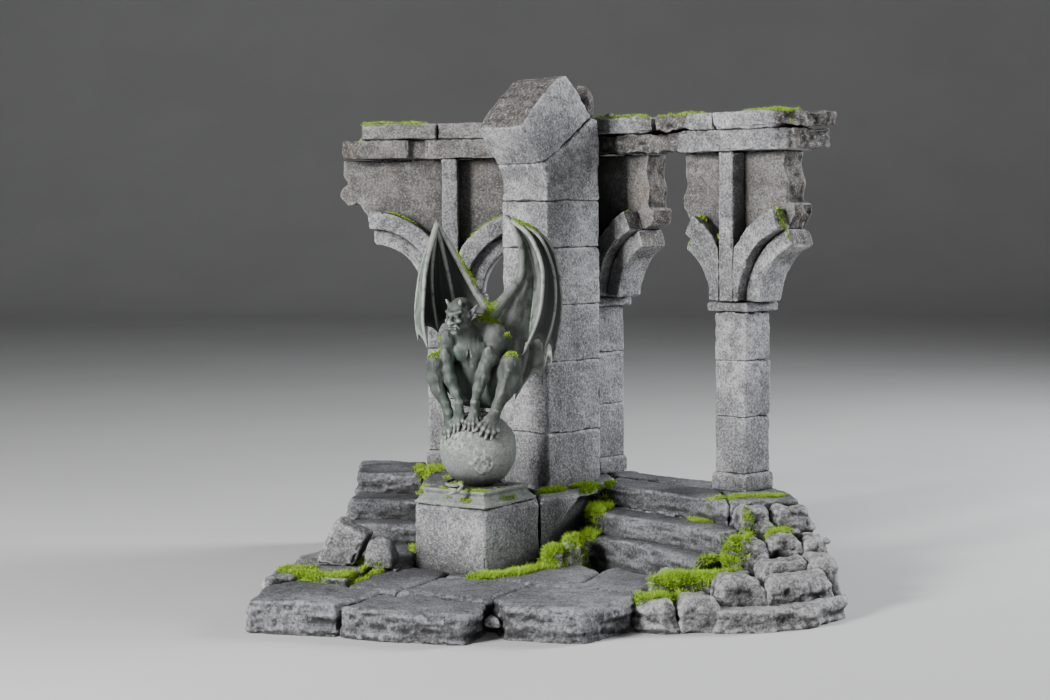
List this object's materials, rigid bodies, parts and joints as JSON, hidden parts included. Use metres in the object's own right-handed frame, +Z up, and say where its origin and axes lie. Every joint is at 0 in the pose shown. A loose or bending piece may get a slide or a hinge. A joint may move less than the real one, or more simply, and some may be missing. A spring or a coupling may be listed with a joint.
{
  "type": "miniature terrain ruin",
  "caption": "Ruined stone arcade display base: stepped paved base, broken pier, two arcade wings and a winged gargoyle on a globe, each of which lifts off.",
  "frame": {"origin": "on the ground, under the middle of the whole", "axes": "+Z up, -Y towards the front, +X towards the arcade with the free end column"},
  "size_m": [0.3424, 0.3424, 0.3124],
  "materials": {
    "grey_stone": "matte, painted stone",
    "paving_stone": "matte, painted stone",
    "verdigris_stone": "satin, painted",
    "steel": "brushed"
  },
  "bodies": {
    "base": {"bank_rocks_lower": "grey_stone", "bank_rocks_upper": "grey_stone", "base_core": "grey_stone", "cave_rubble": "grey_stone", "fallen_block": "grey_stone", "front_slabs": "paving_stone", "gap_stone": "paving_stone", "kerb_stones": "grey_stone", "left_floor_slab": "paving_stone", "left_landing": "paving_stone", "left_mound_rock": "grey_stone", "left_steps": "grey_stone", "paving_slabs": "paving_stone", "pedestal_block": "grey_stone", "pedestal_side_block": "grey_stone", "right_landing_slabs": "paving_stone", "right_steps": "grey_stone", "small_block": "grey_stone", "terrace_core": "grey_stone", "terrace_slabs": "paving_stone"},
    "pier": {"pier_courses": "grey_stone", "pier_springer": "grey_stone", "pier_broken_rib": "grey_stone", "pier_dowel": "steel", "corner_core": "grey_stone", "corner_magnets": "steel", "pier_head_boulder": "grey_stone"},
    "left_arcade": {"left_column_base": "grey_stone", "left_column_drums": "grey_stone", "left_column_collar": "grey_stone", "left_column_dowel": "steel", "left_spandrel_panel": "grey_stone", "left_arch_rings": "grey_stone", "left_arch_soffits": "grey_stone", "left_pilaster_strip": "grey_stone", "left_cornice_lower": "grey_stone", "left_cornice_upper": "grey_stone", "left_arcade_magnet": "steel"},
    "right_arcade": {"right_column_bases": "grey_stone", "right_arcade_drums": "grey_stone", "right_column_collars": "grey_stone", "right_arcade_dowels": "steel", "right_spandrel_panels": "grey_stone", "right_arch_rings": "grey_stone", "right_arch_soffits": "grey_stone", "right_pilaster_strips": "grey_stone", "right_cornice_lower": "grey_stone", "right_cornice_upper": "grey_stone", "right_arcade_magnet": "steel"},
    "statue": {"plinth_cap": "grey_stone", "statue_peg": "steel", "globe": "grey_stone", "gargoyle_torso": "verdigris_stone", "gargoyle_head": "verdigris_stone", "gargoyle_arms": "verdigris_stone", "gargoyle_legs": "verdigris_stone", "gargoyle_left_wing": "verdigris_stone", "gargoyle_right_wing": "verdigris_stone", "gargoyle_tail": "verdigris_stone"}
  },
  "joints": [
    {"name": "pier_lift", "type": "slide", "parent": "base", "child": "pier", "axis": [0, 0, 1], "range_m": [0, 0.03]},
    {"name": "left_arcade_lift", "type": "slide", "parent": "base", "child": "left_arcade", "axis": [0, 0, 1], "range_m": [0, 0.03]},
    {"name": "right_arcade_lift", "type": "slide", "parent": "base", "child": "right_arcade", "axis": [0, 0, 1], "range_m": [0, 0.03]},
    {"name": "statue_lift", "type": "slide", "parent": "base", "child": "statue", "axis": [0, 0, 1], "range_m": [0, 0.03]}
  ]
}
